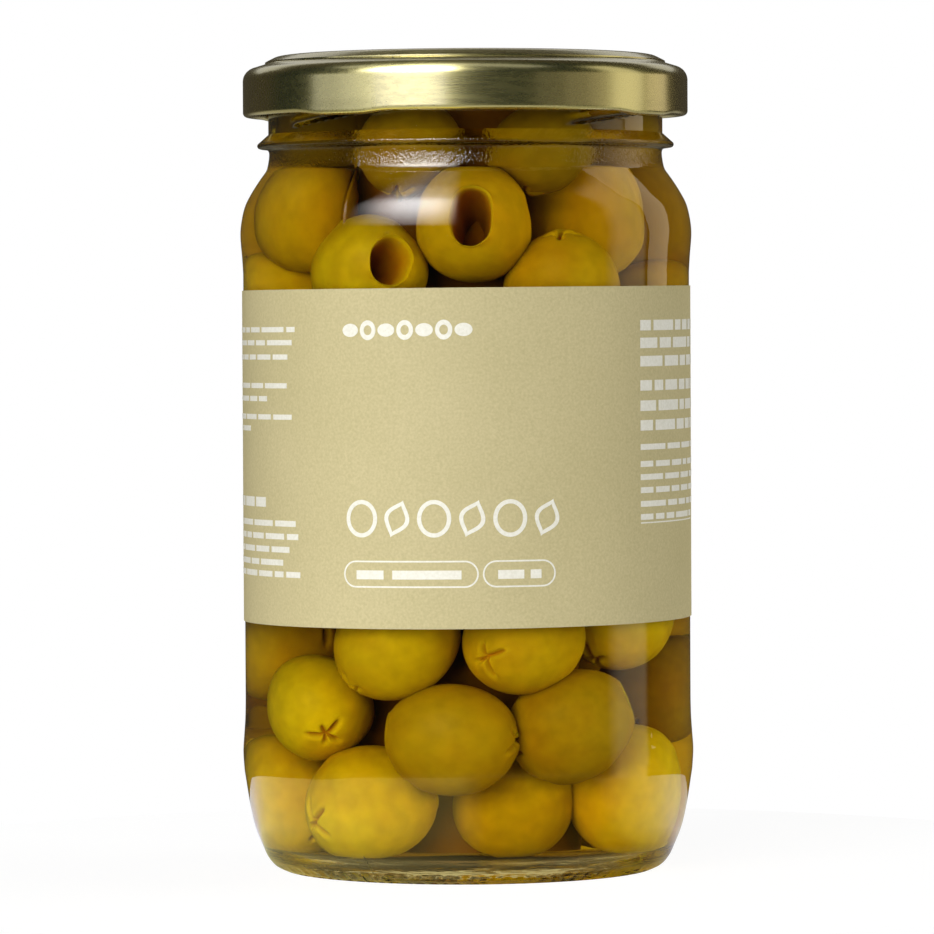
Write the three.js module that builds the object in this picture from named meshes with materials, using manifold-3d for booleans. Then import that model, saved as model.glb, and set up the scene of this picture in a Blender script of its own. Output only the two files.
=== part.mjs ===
// A glass jar of pitted green olives with a gold twist-off lid and a paper wrap label.
// Millimetres, +Z up, the origin at the middle of the foot, the shown side towards -Y.
import * as THREE from "three";
import { mergeVertices } from "three/addons/utils/BufferGeometryUtils.js";
import Module from "manifold-3d";

const wasm = await Module();
wasm.setup();

// Glass
const FACETS = 40;
const FOOT_INNER_RADIUS = 26;
const FOOT_RADIUS = 29;
const PUSH_UP = 1.2;
const BULGE_RADIUS = 35.25;
const HEEL_RADIUS = 35.08;
const HEEL_HEIGHT = 15.5;
const LOWER_BULGE_HEIGHT = 18.4;
const UPPER_BULGE_HEIGHT = 99;
const PANEL_RADIUS = 34.85;
const PANEL_BOTTOM = 26.5;
const PANEL_TOP = 93.2;
const NECK_RADIUS = 30.8;
const NECK_FOOT_RADIUS = 30.95;
const NECK_BOTTOM = 109.7;
const MOUTH_BOTTOM = 111.4;
const BEAD_RADIUS = 32.55;
const BEAD_HEIGHT = 113;
const JAR_HEIGHT = 125.2;
const WALL = 2.3;
const NECK_WALL = 2.9;
const BASE_THICKNESS = 2.6;

// Lid
const LID_RADIUS = 34.75;
const LID_SHEET = 0.4;
const LID_BOTTOM = 117.5;
const LID_TOP = 127;
const LID_LEDGE_RADIUS = 31.25;
const LID_LEDGE_HEIGHT = 125.65;
const LID_CORNER_RADIUS = 2.2;
const LID_CORNER_HEIGHT = 123;
const LID_CORNER_TURN = 70;
const LID_PANEL_RADIUS = 27.2;
const LID_PANEL_DROP = 0.6;
const CURL_RADIUS = 0.7;
const LUGS = 4;
const FIRST_LUG_AZIMUTH = -34;
const LUG_HALF_WIDTH = 15;
const LUG_INWARD = 1.3;
const LUG_INWARD_OUTSIDE = 0.05;
const LUG_DROP = 0.5;

// Label
const LABEL_BOTTOM = 39.2;
const LABEL_TOP = 90.7;
const LABEL_THICKNESS = 0.14;
const LABEL_GAP = 0.06;
const LABEL_LAP_FACETS = 2;

// Olives: each is two overlapping spheres when it is packed, and a pitted egg shape when it is built
const OLIVE_RADIUS = 8.4;
const OLIVE_HALF_SPAN = 1.3;
const OLIVE_SIDES = 10;
const PIT_RADIUS = 3.6;
const PIT_DEPTH = 6;
const SIZE_SPREAD = 0.05;
const RING_PITCH = 14.6;
const RING_COUNT = 8;
const RING_OLIVES = 8;
const FIRST_RING_HEIGHT = 12.5;
const CROWDED = 14;
const OLIVE_TOP = 123.5;
const GLASS_CLEARANCE = 0.4;
const TRIM_CLEARANCE = 0.35;
const SETTLE_STEPS = 300;
const SETTLE_SHARE = 0.25;
const PLACED_SHARE = 0.02;
const SQUEEZE = 0.9;
const RANDOM_SEED = 11;
const CORE_RADIUS = 20;
const CORE_NECK_RADIUS = 16;
const CORE_SIDES = 24;

// The olives that show at the front: azimuth from the front in degrees (positive to the right), height,
// distance from the axis, size, and the way the pit hole faces as right, forward and up.
const PLACED_OLIVES = [
  [-90, 11.6, 22.6, 1, [-0.3, -0.8, 0.4]],
  [-40, 11.4, 22.3, 1, [0.9, -0.35, 0.25]],
  [33, 11.5, 13, 0.95, [0.2, 0.2, 0.95]],
  [69, 11.6, 22, 1.05, [0.2, -0.3, -0.93]],
  [-61, 25.9, 23, 0.955, [0, -0.9, 0.4]],
  [-6, 22, 23, 1, [-0.95, -0.25, 0.05]],
  [38.5, 22.6, 23, 1, [0.85, -0.3, 0.4]],
  [106, 26.9, 22.8, 1, [0.2, -0.7, 0.6]],
  [-100, 35, 22.8, 1, [-0.5, -0.7, -0.4]],
  [-25.5, 37, 23, 1, [0.65, -0.1, 0.75]],
  [20, 37, 23, 0.975, [0.57, -0.78, 0.25]],
  [65, 41, 23, 1, [0.4, -0.5, 0.75]],
  [-91, 88.6, 22.8, 1, [-0.6, -0.6, 0.5]],
  [-36.5, 93.6, 23, 0.965, [0.3, 0.93, 0.2]],
  [4, 99.2, 21.5, 0.94, [-0.03, 1, 0.2]],
  [35, 90.9, 23, 1, [0.05, -0.35, -0.94]],
  [91, 86.8, 22.8, 1, [0.5, -0.7, 0.4]],
  [-70, 101.2, 22, 0.87, [-0.5, -0.7, 0.5]],
  [65, 99, 16, 0.94, [0.3, -0.8, 0.5]],
  [118, 100, 21.5, 0.97, [0.1, -0.2, 0.97]],
  [-25, 111, 18.5, 0.9, [0.2, -0.3, 0.9]],
  [34, 111, 18.5, 0.9, [0.3, -0.4, 0.85]],
  [-82, 114, 17.5, 0.9, [0.1, 0.1, 0.98]],
  [92, 114, 17.5, 0.9, [-0.1, 0.1, 0.98]],
];

const COLOURS = { glass: 0xdfe3d4, gold: 0xb5a05a, paper: 0xc9bd8b, olive: 0xa58c14 };

const point = (radius, height) => new THREE.Vector2(radius, height);
const radians = THREE.MathUtils.degToRad;

// A smooth curve through key points, kept within the jar's widest radius.
function smoothWall(keys, steps) {
  const curve = new THREE.SplineCurve(keys).getPoints(steps);
  return curve.map(({ x, y }) => point(Math.min(x, BULGE_RADIUS), y));
}

// The jar's outside from the middle of the push-up to the lip.
function outsideOfGlass() {
  const heel = smoothWall(
    [
      point(FOOT_RADIUS, 0),
      point(30.4, 0.7),
      point(31.5, 2),
      point(32.3, 3.7),
      point(33.4, 6.5),
      point(34.2, 10),
      point(HEEL_RADIUS, HEEL_HEIGHT),
    ],
    9,
  );
  const lowerBulge = smoothWall(
    [
      point(HEEL_RADIUS, HEEL_HEIGHT),
      point(BULGE_RADIUS, LOWER_BULGE_HEIGHT),
      point(35.1, 20.9),
      point(34.92, 23.6),
      point(PANEL_RADIUS, PANEL_BOTTOM),
    ],
    4,
  );
  const shoulder = smoothWall(
    [
      point(PANEL_RADIUS, PANEL_TOP),
      point(35, 95.6),
      point(BULGE_RADIUS, UPPER_BULGE_HEIGHT),
      point(35.05, 101.3),
      point(34.5, 103.6),
      point(33.55, 105.5),
      point(32.35, 107.4),
      point(31.2, 109),
    ],
    8,
  );
  return [
    point(0, PUSH_UP),
    point(FOOT_INNER_RADIUS - 5, PUSH_UP * 0.7),
    point(FOOT_INNER_RADIUS, 0),
    ...heel,
    ...lowerBulge.slice(1),
    ...shoulder,
    point(NECK_FOOT_RADIUS, NECK_BOTTOM),
    point(30.7, NECK_BOTTOM + 1.5),
    point(30.75, BEAD_HEIGHT - 0.9),
    point(31.2, BEAD_HEIGHT - 0.5),
    point(BEAD_RADIUS - 0.45, BEAD_HEIGHT - 0.45),
    point(BEAD_RADIUS, BEAD_HEIGHT),
    point(BEAD_RADIUS - 0.2, BEAD_HEIGHT + 0.4),
    point(NECK_RADIUS, BEAD_HEIGHT + 1.75),
    point(NECK_RADIUS, JAR_HEIGHT - 0.9),
    point(NECK_RADIUS - 0.8, JAR_HEIGHT),
  ];
}

// The jar's inside from the middle of the base to the lip.
function insideOfGlass() {
  const inside = PANEL_RADIUS - WALL;
  const mouth = NECK_RADIUS - NECK_WALL;
  return [
    point(0, BASE_THICKNESS + 0.6),
    point(22, BASE_THICKNESS),
    point(26.8, BASE_THICKNESS + 1),
    point(29.9, BASE_THICKNESS + 3.6),
    point(31.6, BASE_THICKNESS + 8.2),
    point(inside + 0.3, LOWER_BULGE_HEIGHT),
    point(inside, PANEL_BOTTOM),
    point(inside, PANEL_TOP),
    point(inside + 0.2, UPPER_BULGE_HEIGHT - 1),
    point(31.4, 103),
    point(29.4, 107),
    point(mouth, MOUTH_BOTTOM),
    point(mouth, JAR_HEIGHT - 0.8),
    point(mouth + 0.8, JAR_HEIGHT),
  ];
}

function revolve(profile, facets) {
  return new THREE.LatheGeometry(profile, facets).rotateX(Math.PI / 2);
}

function makeGlass() {
  return revolve([...outsideOfGlass(), ...insideOfGlass().reverse()], FACETS);
}

// How far a direction is inside a lug of the lid, from 0 outside it to 1 in its middle.
function lugShare(x, y) {
  const azimuth = THREE.MathUtils.radToDeg(Math.atan2(x, -y));
  const spacing = 360 / LUGS;
  const along = THREE.MathUtils.euclideanModulo(azimuth - FIRST_LUG_AZIMUTH, spacing);
  const away = Math.min(along, spacing - along);
  return 1 - THREE.MathUtils.smoothstep(away, LUG_HALF_WIDTH / 3, LUG_HALF_WIDTH);
}

// A pressed sheet: raised ring, ledge, round corner, skirt and a rolled edge that the lugs pull inwards.
function makeLid() {
  const corner = (radius) =>
    new THREE.EllipseCurve(
      LID_RADIUS - LID_CORNER_RADIUS,
      LID_CORNER_HEIGHT,
      radius,
      radius,
      0,
      radians(LID_CORNER_TURN),
    ).getPoints(3);
  const curl = new THREE.Path()
    .absarc(LID_RADIUS - CURL_RADIUS, LID_BOTTOM + CURL_RADIUS, CURL_RADIUS, 0, -1.3 * Math.PI, true)
    .getPoints(6);
  const panel = LID_TOP - LID_PANEL_DROP;
  const under = LID_TOP - LID_SHEET;
  const profile = [
    point(0, panel),
    point(LID_PANEL_RADIUS - 1, panel),
    point(LID_PANEL_RADIUS, LID_TOP),
    point(LID_PANEL_RADIUS + 1.1, LID_TOP),
    point(29.5, LID_TOP - 0.16),
    point(30.5, LID_TOP - 0.6),
    point(LID_LEDGE_RADIUS, LID_TOP - 1),
    point(LID_LEDGE_RADIUS, LID_LEDGE_HEIGHT),
    ...corner(LID_CORNER_RADIUS).reverse(),
    ...curl,
    ...corner(LID_CORNER_RADIUS - LID_SHEET),
    point(LID_LEDGE_RADIUS - 1.05, LID_LEDGE_HEIGHT - LID_SHEET),
    point(LID_LEDGE_RADIUS - 2, LID_LEDGE_HEIGHT - LID_SHEET),
    point(LID_LEDGE_RADIUS - 2, under),
    point(LID_PANEL_RADIUS + 0.2, under),
    point(LID_PANEL_RADIUS - 0.8, panel - LID_SHEET),
    point(0, panel - LID_SHEET),
  ].reverse();
  return pullInLugs(revolve(profile, FACETS));
}

// Bends the lid's rolled edge in and down at each lug, its outer side less than its inner side.
function pullInLugs(lid) {
  const position = lid.getAttribute("position");
  for (let i = 0; i < position.count; i++) {
    const [x, y, z] = [position.getX(i), position.getY(i), position.getZ(i)];
    if (z > LID_BOTTOM + 2.2 * CURL_RADIUS) continue;
    const share = lugShare(x, y);
    const radius = Math.hypot(x, y);
    const outside = THREE.MathUtils.smoothstep(radius, LID_RADIUS - 2 * CURL_RADIUS, LID_RADIUS);
    const inward = LUG_INWARD * THREE.MathUtils.lerp(1, LUG_INWARD_OUTSIDE, outside);
    const pulled = (radius - share * inward) / radius;
    position.setXYZ(i, x * pulled, y * pulled, z - share * LUG_DROP);
  }
  return lid;
}

// A paper strip wound once round the jar, with its end lapped over its start at the back.
function makeLabel() {
  const inner = PANEL_RADIUS + LABEL_GAP;
  const radiusAt = (step) => inner + (step >= FACETS ? LABEL_THICKNESS + LABEL_GAP : 0);
  const onArc = (step, radius) => {
    const azimuth = (2 * Math.PI * step) / FACETS - Math.PI;
    return point(radius * Math.sin(azimuth), -radius * Math.cos(azimuth));
  };
  const steps = [...Array(FACETS + LABEL_LAP_FACETS + 1).keys()];
  const outerEdge = steps.map((step) => onArc(step, radiusAt(step) + LABEL_THICKNESS));
  const innerEdge = steps.map((step) => onArc(step, radiusAt(step))).reverse();
  const strip = new THREE.ExtrudeGeometry(new THREE.Shape([...outerEdge, ...innerEdge]), {
    depth: LABEL_TOP - LABEL_BOTTOM,
    bevelEnabled: false,
  });
  return strip.translate(0, 0, LABEL_BOTTOM);
}

// A repeatable stream of random numbers between two limits.
function seededDraws(seed) {
  let state = seed;
  return (low, high) => {
    state = (state * 1664525 + 1013904223) % 4294967296;
    return low + ((high - low) * state) / 4294967296;
  };
}

// The place at an azimuth from the front, a distance from the axis and a height.
function placeAt(azimuth, distance, height) {
  const angle = radians(azimuth);
  return new THREE.Vector3(distance * Math.sin(angle), -distance * Math.cos(angle), height);
}

// The glass's inner radius at a height.
function innerRadius(height) {
  const inside = insideOfGlass();
  for (let i = 1; i < inside.length; i++) {
    const [low, high] = [inside[i - 1], inside[i]];
    if (low.y < high.y && height <= high.y) {
      const share = Math.max(0, (height - low.y) / (high.y - low.y));
      return low.x + share * (high.x - low.x);
    }
  }
  return inside.at(-1).x;
}

// The way a pit hole faces, turned back from the glass where it would face it.
function turnedFromGlass(direction, centre) {
  const outwards = new THREE.Vector3(centre.x, centre.y, 0).normalize();
  const outward = Math.max(0, direction.dot(outwards));
  return direction.addScaledVector(outwards, -1.5 * outward).normalize();
}

// The olives that show at the front, then rings of others wherever they don't crowd those.
function layOlives() {
  const draw = seededDraws(RANDOM_SEED);
  const olives = PLACED_OLIVES.map(([azimuth, height, distance, size, [right, forward, up]]) => ({
    centre: placeAt(azimuth, distance, height),
    axis: new THREE.Vector3(right, -forward, up).normalize(),
    size,
    placed: true,
  }));
  for (let ring = 0; ring < RING_COUNT; ring++) {
    const height = FIRST_RING_HEIGHT + ring * RING_PITCH;
    const distance = innerRadius(height + OLIVE_RADIUS / 2) - OLIVE_RADIUS - GLASS_CLEARANCE;
    for (let i = 0; i < RING_OLIVES; i++) {
      const azimuth = ((i + (ring % 2) / 2) * 360) / RING_OLIVES;
      const centre = placeAt(azimuth, distance, height + draw(-1, 1));
      const axis = turnedFromGlass(new THREE.Vector3(draw(-1, 1), draw(-1, 1), draw(-1, 1)), centre);
      const size = 1 + draw(-SIZE_SPREAD, SIZE_SPREAD);
      if (olives.every((other) => !other.placed || other.centre.distanceTo(centre) > CROWDED))
        olives.push({ centre, axis, size, placed: false });
    }
  }
  return olives;
}

// The two spheres that stand for an olive while it is packed.
function spheresOf(olive) {
  const radius = OLIVE_RADIUS * olive.size;
  return [-OLIVE_HALF_SPAN, OLIVE_HALF_SPAN].map((along) => ({
    middle: olive.centre.clone().addScaledVector(olive.axis, along),
    radius,
  }));
}

// How a sphere has to move to come clear of the glass, the base and the lid.
function pushFromGlass({ middle, radius }) {
  const push = new THREE.Vector3();
  const outwards = new THREE.Vector3(middle.x, middle.y, 0);
  const distance = outwards.length();
  let excess = 0;
  for (const lift of [-0.8, -0.4, 0, 0.4, 0.8]) {
    const reach = distance + radius * Math.sqrt(1 - lift * lift);
    excess = Math.max(excess, reach + GLASS_CLEARANCE - innerRadius(middle.z + lift * radius));
  }
  if (excess > 0 && distance > 0) push.addScaledVector(outwards.normalize(), -excess);
  push.z += Math.max(0, BASE_THICKNESS + GLASS_CLEARANCE + radius - middle.z);
  push.z -= Math.max(0, middle.z + radius - OLIVE_TOP);
  return push;
}

// Pushes the olives apart a little at a time until they lie against each other and the glass.
function settle(olives) {
  for (let step = 0; step < SETTLE_STEPS; step++) {
    const spheres = olives.map(spheresOf);
    const pushes = olives.map(() => new THREE.Vector3());
    olives.forEach((olive, a) => {
      for (const sphere of spheres[a]) {
        for (let b = a + 1; b < olives.length; b++) {
          for (const other of spheres[b]) {
            const apart = sphere.middle.clone().sub(other.middle);
            const overlap = SQUEEZE * (sphere.radius + other.radius) - apart.length();
            if (overlap <= 0) continue;
            apart.normalize();
            pushes[a].addScaledVector(apart, overlap);
            pushes[b].addScaledVector(apart, -overlap);
          }
        }
      }
    });
    olives.forEach((olive, a) => {
      const share = SETTLE_SHARE * (olive.placed ? PLACED_SHARE : 1);
      olive.centre.addScaledVector(pushes[a], share);
      const offGlass = spheresOf(olive).map(pushFromGlass);
      for (const push of offGlass) olive.centre.addScaledVector(push, SETTLE_SHARE);
    });
  }
  return olives;
}

// One olive, an egg shape on its own axis with the pit hole sunk into one end.
function makeOlive({ centre, axis, size }) {
  const radius = OLIVE_RADIUS * size;
  const halfLength = radius + OLIVE_HALF_SPAN;
  const pitEdge = Math.asin(PIT_RADIUS / radius);
  const egg = new THREE.EllipseCurve(0, 0, radius, halfLength, -Math.PI / 2, Math.PI / 2 - pitEdge);
  const skin = egg.getPoints(6);
  const pitBottom = skin.at(-1).y - PIT_DEPTH;
  const profile = [...skin, point(PIT_RADIUS * 0.8, pitBottom), point(0, pitBottom)];
  profile[0].x = 0;
  const turn = new THREE.Quaternion().setFromUnitVectors(new THREE.Vector3(0, 0, 1), axis);
  return revolve(profile, OLIVE_SIDES).applyQuaternion(turn).translate(centre.x, centre.y, centre.z);
}

// A closed geometry as a solid that can be joined and cut.
function solidOf(geometry) {
  const bare = geometry.clone();
  for (const name of ["normal", "uv"]) bare.deleteAttribute(name);
  const merged = mergeVertices(bare, 1e-3);
  return new wasm.Manifold(
    new wasm.Mesh({
      numProp: 3,
      vertProperties: merged.getAttribute("position").array,
      triVerts: new Uint32Array(merged.index.array),
    }),
  );
}

function geometryOf(solid) {
  const mesh = solid.getMesh();
  return new THREE.BufferGeometry()
    .setAttribute("position", new THREE.BufferAttribute(mesh.vertProperties, 3))
    .setIndex(new THREE.BufferAttribute(mesh.triVerts, 1));
}

// The room inside the glass, a little clear of its wall.
function roomInGlass() {
  const wall = insideOfGlass().map(({ x, y }) => point(Math.max(0, x - TRIM_CLEARANCE), y));
  return revolve([...wall, point(0, JAR_HEIGHT)], FACETS);
}

// The heap: a core that fills the jar's middle, with the olives that show above and below the label fused on.
function makeHeap() {
  const core = revolve(
    [
      point(0, BASE_THICKNESS + 3),
      point(CORE_RADIUS - 3, BASE_THICKNESS + 3),
      point(CORE_RADIUS, BASE_THICKNESS + 6),
      point(CORE_RADIUS, UPPER_BULGE_HEIGHT),
      point(CORE_NECK_RADIUS, NECK_BOTTOM - 2),
      point(CORE_NECK_RADIUS, OLIVE_TOP - 4),
      point(0, OLIVE_TOP - 4),
    ],
    CORE_SIDES,
  );
  const shows = ({ centre }) =>
    centre.z < LABEL_BOTTOM + OLIVE_RADIUS / 2 || centre.z > LABEL_TOP - OLIVE_RADIUS / 2;
  const fused = settle(layOlives())
    .filter(shows)
    .reduce((heap, olive) => heap.add(solidOf(makeOlive(olive))), solidOf(core));
  return largestBody(fused.intersect(solidOf(roomInGlass())));
}

// The largest of a solid's separate shells, which fills the hollows shut in between the pieces.
function largestBody(solid) {
  return solid.decompose().reduce((largest, body) => (body.volume() > largest.volume() ? body : largest));
}

function named(name, geometry, material) {
  const mesh = new THREE.Mesh(geometry, new THREE.MeshStandardMaterial(material));
  mesh.name = name;
  return mesh;
}

const jar = new THREE.Group();
jar.add(
  named("glass_jar", makeGlass(), { color: COLOURS.glass, roughness: 0.05, transparent: true, opacity: 0.3 }),
  named("lid", makeLid(), { color: COLOURS.gold, roughness: 0.3, metalness: 1 }),
  named("label", makeLabel(), { color: COLOURS.paper, roughness: 0.7 }),
  named("olives", geometryOf(makeHeap()), { color: COLOURS.olive, roughness: 0.4 }),
);

export default jar;
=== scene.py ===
"""The looks of a glass jar of pitted green olives in brine, with a gold twist-off lid and a paper wrap label.

Sizes are in millimetres, the jar stands on z = 0 and its shown side faces -Y. An azimuth is counted in
degrees from the shown side, positive towards +X. Meshes are turned into metres where they are made.
"""

import math

import bpy
import numpy as np
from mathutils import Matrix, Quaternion, Vector


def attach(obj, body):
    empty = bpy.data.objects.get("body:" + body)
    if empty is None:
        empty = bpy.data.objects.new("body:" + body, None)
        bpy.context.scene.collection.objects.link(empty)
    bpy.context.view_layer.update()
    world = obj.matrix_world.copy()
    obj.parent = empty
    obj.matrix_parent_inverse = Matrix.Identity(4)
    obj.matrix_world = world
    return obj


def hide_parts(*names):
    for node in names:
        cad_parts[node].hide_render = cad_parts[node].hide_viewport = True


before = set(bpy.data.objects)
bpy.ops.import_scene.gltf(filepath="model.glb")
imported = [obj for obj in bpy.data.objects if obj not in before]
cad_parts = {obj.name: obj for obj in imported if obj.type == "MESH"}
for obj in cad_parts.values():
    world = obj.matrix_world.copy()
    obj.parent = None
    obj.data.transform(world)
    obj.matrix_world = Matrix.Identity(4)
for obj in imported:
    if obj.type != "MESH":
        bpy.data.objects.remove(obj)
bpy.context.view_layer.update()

MM = 0.001

# Camera, as the photograph was taken
EYE_DISTANCE = 920
EYE_HEIGHT = 88.1
AIM_HEIGHT = 62.7
LENS = 226.5
ROLL = -0.28

# Glass
GLASS_SEGMENTS = 360
FOOT_INNER_RADIUS = 26
FOOT_RADIUS = 29
PUSH_UP = 1.2
BULGE_RADIUS = 35.25
LOWER_BULGE_HEIGHT = 18.4
HEEL_RADIUS = 35.08
HEEL_HEIGHT = 15.5
UPPER_BULGE_HEIGHT = 99
PANEL_RADIUS = 34.85
PANEL_BOTTOM = 26.5
PANEL_TOP = 93.2
NECK_RADIUS = 30.8
NECK_FOOT_RADIUS = 30.95
NECK_BOTTOM = 109.7
MOUTH_BOTTOM = 111.4
BEAD_RADIUS = 32.55
BEAD_HEIGHT = 113
JAR_HEIGHT = 125.2
WALL = 2.3
NECK_WALL = 2.9
BASE_THICKNESS = 2.6
THREADS = 4
THREAD_START_AZIMUTH = -62
THREAD_SPAN = 75
THREAD_BOTTOM = 115.9
THREAD_RISE = 5.2
THREAD_HEIGHT = 0.9
THREAD_HALF_WIDTH = 0.8
THREAD_FADE = 8
KNURLS = 90
KNURL_DEPTH = 0.3
KNURL_TOP = (0.8, 1.6)
SEAM_AZIMUTH = -32
SEAM_HEIGHT = 0.045
SEAM_HALF_WIDTH = 0.3
SEAM_COLUMNS = 9
STIPPLED = (109.8, 113.2)
STREAKED = (-5, 3.5)

# Brine: it reaches this far into the glass, so that no gap shows
BRINE_REACH = 0.3
BRINE_TOP = 123.6
WET_REFLECTION = (0, 0, 0)

# Lid
LID_SEGMENTS = 240
LID_RADIUS = 34.75
LID_SHEET = 0.4
LID_BOTTOM = 117.5
LID_TOP = 127
LID_LEDGE_RADIUS = 31.25
LID_LEDGE_HEIGHT = 125.65
LID_CORNER_RADIUS = 2.2
LID_CORNER_HEIGHT = 123
LID_CORNER_TURN = 70
LID_PANEL_RADIUS = 27.2
LID_PANEL_DROP = 0.6
CURL_RADIUS = 0.7
LUGS = 4
FIRST_LUG_AZIMUTH = -34
LUG_HALF_WIDTH = 15
LUG_INWARD = 1.3
LUG_INWARD_OUTSIDE = 0.05
LUG_DROP = 0.5

# Label
LABEL_GAP = 0.06
LABEL_THICKNESS = 0.14
LABEL_LAP = 18
LABEL_LIFT = 9
LABEL_COLUMNS = 361
LABEL_BOTTOM = 39.2
LABEL_TOP = 90.7
LABEL_SKEW = 0.0049
INK_THICKNESS = 0.02
INK_GAP = 0.02
INK_RADIUS = PANEL_RADIUS + LABEL_GAP + LABEL_THICKNESS + INK_GAP

# Large print, in millimetres along the label from the middle of the shown side: two rows of marks, with the
# outer and inner half sizes of each kind of mark
SPRIG_START = -18.3
SPRIG_PITCH = 2.98
SPRIG_HEIGHT = 84.4
SPRIG_MARKS = 7
SPRIG_OVAL = ((1.35, 1.0), (0.027, 0.02))
SPRIG_RING = ((1.3, 1.5), (0.65, 0.75))
ROW_START = -16.5
ROW_PITCH = 5.75
ROW_HEIGHT = 55.9
ROW_MARKS = 6
ROW_OVAL = ((2.6, 2.85), (1.95, 2.2))
ROW_LEAF = ((2.0, 3.0), (1.35, 2.15))
LEAF_LEAN = 20

# Two pills with where they and their bars start and end, and the lines of small print at both sides as
# height, thickness and where they end
PILL_HEIGHT = 47.5
PILL_HALF_HEIGHT = 2.05
PILL_LINE = 0.25
PILL_BAR = (47.4, 1.35)
PILLS = [
    (-19.6, 1.7, [(-17.4, -12.9), (-11.5, -0.9)]),
    (2.3, 13.6, [(4.6, 8.6), (9.6, 11.3)]),
]
SIDE_PRINT_START = 29.9
SIDE_PRINT_REACH = 66
WORD_LENGTH = (2.2, 7)
WORD_GAP = 0.75
UNDERLINE_END = 50
UNDERLINE_DROP = 0.9
UNDERLINE_THICKNESS = 0.2
LEFT_LINES = [
    (84.6, 0.8, -29.4),
    (82.6, 0.8, -29.4),
    (80.4, 0.8, -31.2),
    (76, 0.8, -31.4),
    (74, 0.8, -36.3),
    (71.2, 0.8, -30.2),
    (69.4, 0.8, -44),
    (58.1, 1.5, -36.8),
    (54.9, 0.9, -29.4),
    (52.9, 0.9, -28.8),
    (50.9, 0.9, -29.4),
    (48.9, 0.9, -31),
    (47.1, 0.9, -28.4),
]
RIGHT_LINES = [
    (84.7, 1.6, 62),
    (82, 1.6, 58),
    (79.2, 1.6, 60),
    (75.5, 1.6, 56),
    (72.4, 1.6, 61),
    (69.4, 1.6, 57),
    (66.1, 0.9, 64),
    (63.5, 0.9, 62),
    (61.5, 0.9, 65),
    (59.5, 0.9, 63),
    (57.4, 0.9, 66),
    (55.4, 0.9, 50),
]

# Olives: each is two overlapping spheres when it is packed, and a pitted egg shape when it is built
OLIVE_RADIUS = 8.4
OLIVE_HALF_SPAN = 1.3
PIT_RADIUS = 3.6
PIT_DEPTH = 13.5
PLACED_GRID = (56, 38)
RING_GRID = (36, 26)
UNEVENNESS = 0.035
OUT_OF_REACH = 99
CUT_DEPTH = 1.3
CUT_REACH = (2, 4.4)
CUT_MIDDLE = 0.7
CUT_HALF_WIDTH = 0.4
LIP_HEIGHT = 0.18
LIP_OFFSET = 0.8
LIP_HALF_WIDTH = 0.5
CORE_RADIUS = 13
CORE_SEGMENTS = 48
CORE_SPACING = 2.5
CORE_LUMPS = 2
# Painted shade: the dark colour of the core and of the flesh at the bottom of the pit holes
DEEP_SHADE_COLOUR = (0.17, 0.075, 0.004)
SIZE_SPREAD = 0.05
RING_PITCH = 14.6
RING_COUNT = 8
RING_OLIVES = 8
FIRST_RING_HEIGHT = 12.5
CROWDED = 14
OLIVE_TOP = 123.5
GLASS_CLEARANCE = 0.4
SETTLE_STEPS = 300
SETTLE_SHARE = 0.25
PLACED_SHARE = 0.02
SQUEEZE = 0.9
RANDOM_SEED = 11

# A pit hole from its rim down: share of its radius, height over the rim and how far inside the flesh it is,
# which sets its flesh colour and how much painted shade darkens it
PIT_HOLE = [
    (1.04, 0.05, 0.0),
    (0.98, -0.2, 0.15),
    (0.94, -0.7, 0.45),
    (0.9, -2, 0.65),
    (0.86, -5, 0.9),
    (0.45, -PIT_DEPTH, 0.94),
]

# Colours of the skin by its tone, the darkest of it painted shade, and of the flesh by how far inside it is,
# darker deeper in as painted shade
SKIN_TONES_AND_SHADE = [
    (0, (0.78, 0.55, 0.006)),
    (0.5, (0.47, 0.32, 0.003)),
    (0.8, (0.41, 0.25, 0.003)),
    (1, (0.1, 0.062, 0.003)),
]
FLESH_AND_HOLE_SHADE = [
    (0.2, (0.5, 0.34, 0.006)),
    (0.6, (0.45, 0.25, 0.005)),
    (0.9, (0.45, 0.19, 0.004)),
    (1, DEEP_SHADE_COLOUR),
]
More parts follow.
